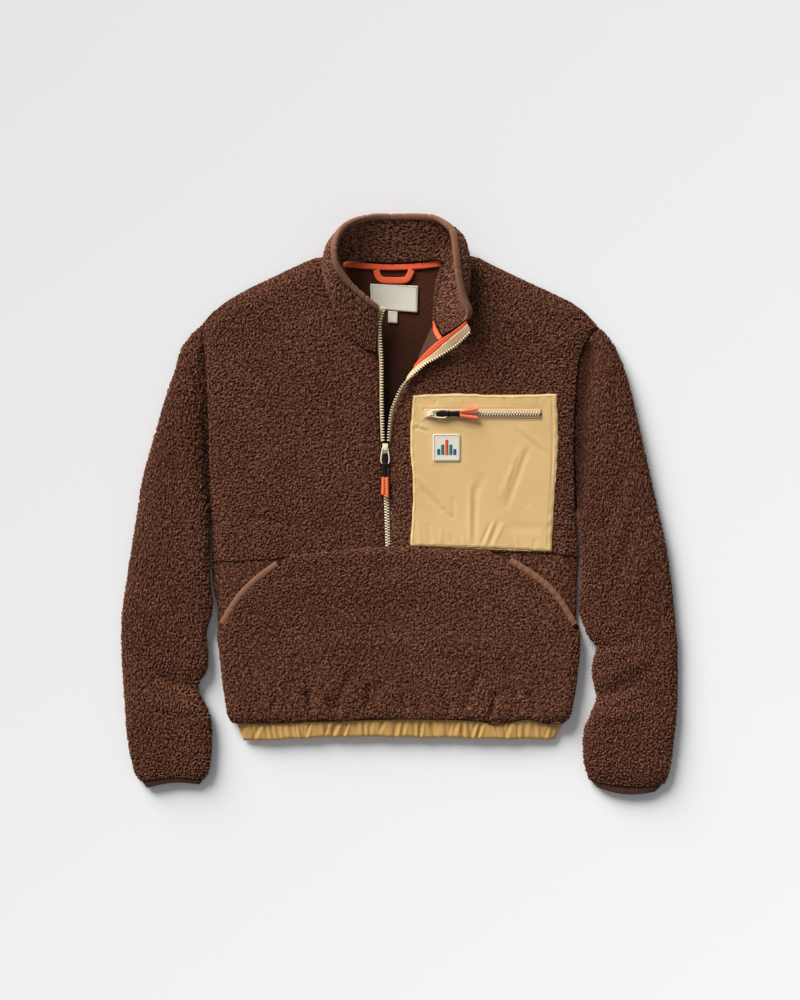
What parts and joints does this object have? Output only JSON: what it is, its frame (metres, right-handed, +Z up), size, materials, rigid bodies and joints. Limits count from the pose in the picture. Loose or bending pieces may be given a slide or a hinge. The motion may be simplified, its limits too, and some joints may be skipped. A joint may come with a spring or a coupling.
{
  "type": "sherpa fleece pullover laid out flat",
  "caption": "Half-zip pile fleece pullover laid flat on its back, with stand collar, nylon chest pocket, hand pocket and gathered nylon hem.",
  "frame": {"origin": "middle of the garment's footprint, on the surface that it rests on", "axes": "+X to the wearer's left, +Y towards the collar, +Z up off the surface"},
  "size_m": [0.776, 0.8116, 0.0566],
  "materials": {
    "pile": "curly brown sherpa pile",
    "binding": "smooth brown stretch binding",
    "nylon": "golden tan woven nylon with a soft sheen",
    "coral": "coral woven tape",
    "tape": "beige woven zip tape",
    "label": "ivory woven label",
    "cord_black": "matt black moulded grip",
    "cord_coral": "coral moulded cord end",
    "zip_metal": "pale gold plated zip metal"
  },
  "bodies": {
    "garment": {"back_panel": "pile", "front_right": "pile", "front_left": "pile", "front_lower": "pile", "hand_pocket": "pile", "hand_pocket_binding_right": "binding", "hand_pocket_binding_left": "binding", "sleeve_right": "pile", "sleeve_left": "pile", "cuff_binding_right": "binding", "cuff_binding_left": "binding", "hem_band": "nylon", "collar": "pile", "collar_binding": "binding", "front_edge_left": "binding", "zip_tape_left": "tape", "zip_edge_binding_left": "coral", "zip_tape_right": "tape", "zip_tape_closed": "tape", "chest_pocket": "nylon", "chest_pocket_zip_tape": "tape", "badge": "label", "neck_tape_back": "coral", "neck_tape_left": "coral", "hanger_loop": "coral", "neck_label": "label", "size_tab": "label", "front_zip_slider": "zip_metal", "chest_pocket_slider": "zip_metal"},
    "front_pull": {"front_pull_bail": "zip_metal", "front_pull_grip": "cord_black", "front_pull_end_a": "cord_coral", "front_pull_end_b": "cord_coral"},
    "pocket_pull": {"pocket_pull_bail": "zip_metal", "pocket_pull_grip": "cord_black", "pocket_pull_end_a": "cord_coral", "pocket_pull_end_b": "cord_coral"}
  },
  "joints": [
    {"name": "front_pull_swing", "type": "hinge", "parent": "garment", "child": "front_pull", "pos_m": [-0.02, 0.0767, 0.0161], "axis": [-1, 0, 0], "range_deg": [0, 160]},
    {"name": "pocket_pull_swing", "type": "hinge", "parent": "garment", "child": "pocket_pull", "pos_m": [0.044, 0.1247, 0.022], "axis": [0, -1, 0], "range_deg": [0, 160]}
  ]
}
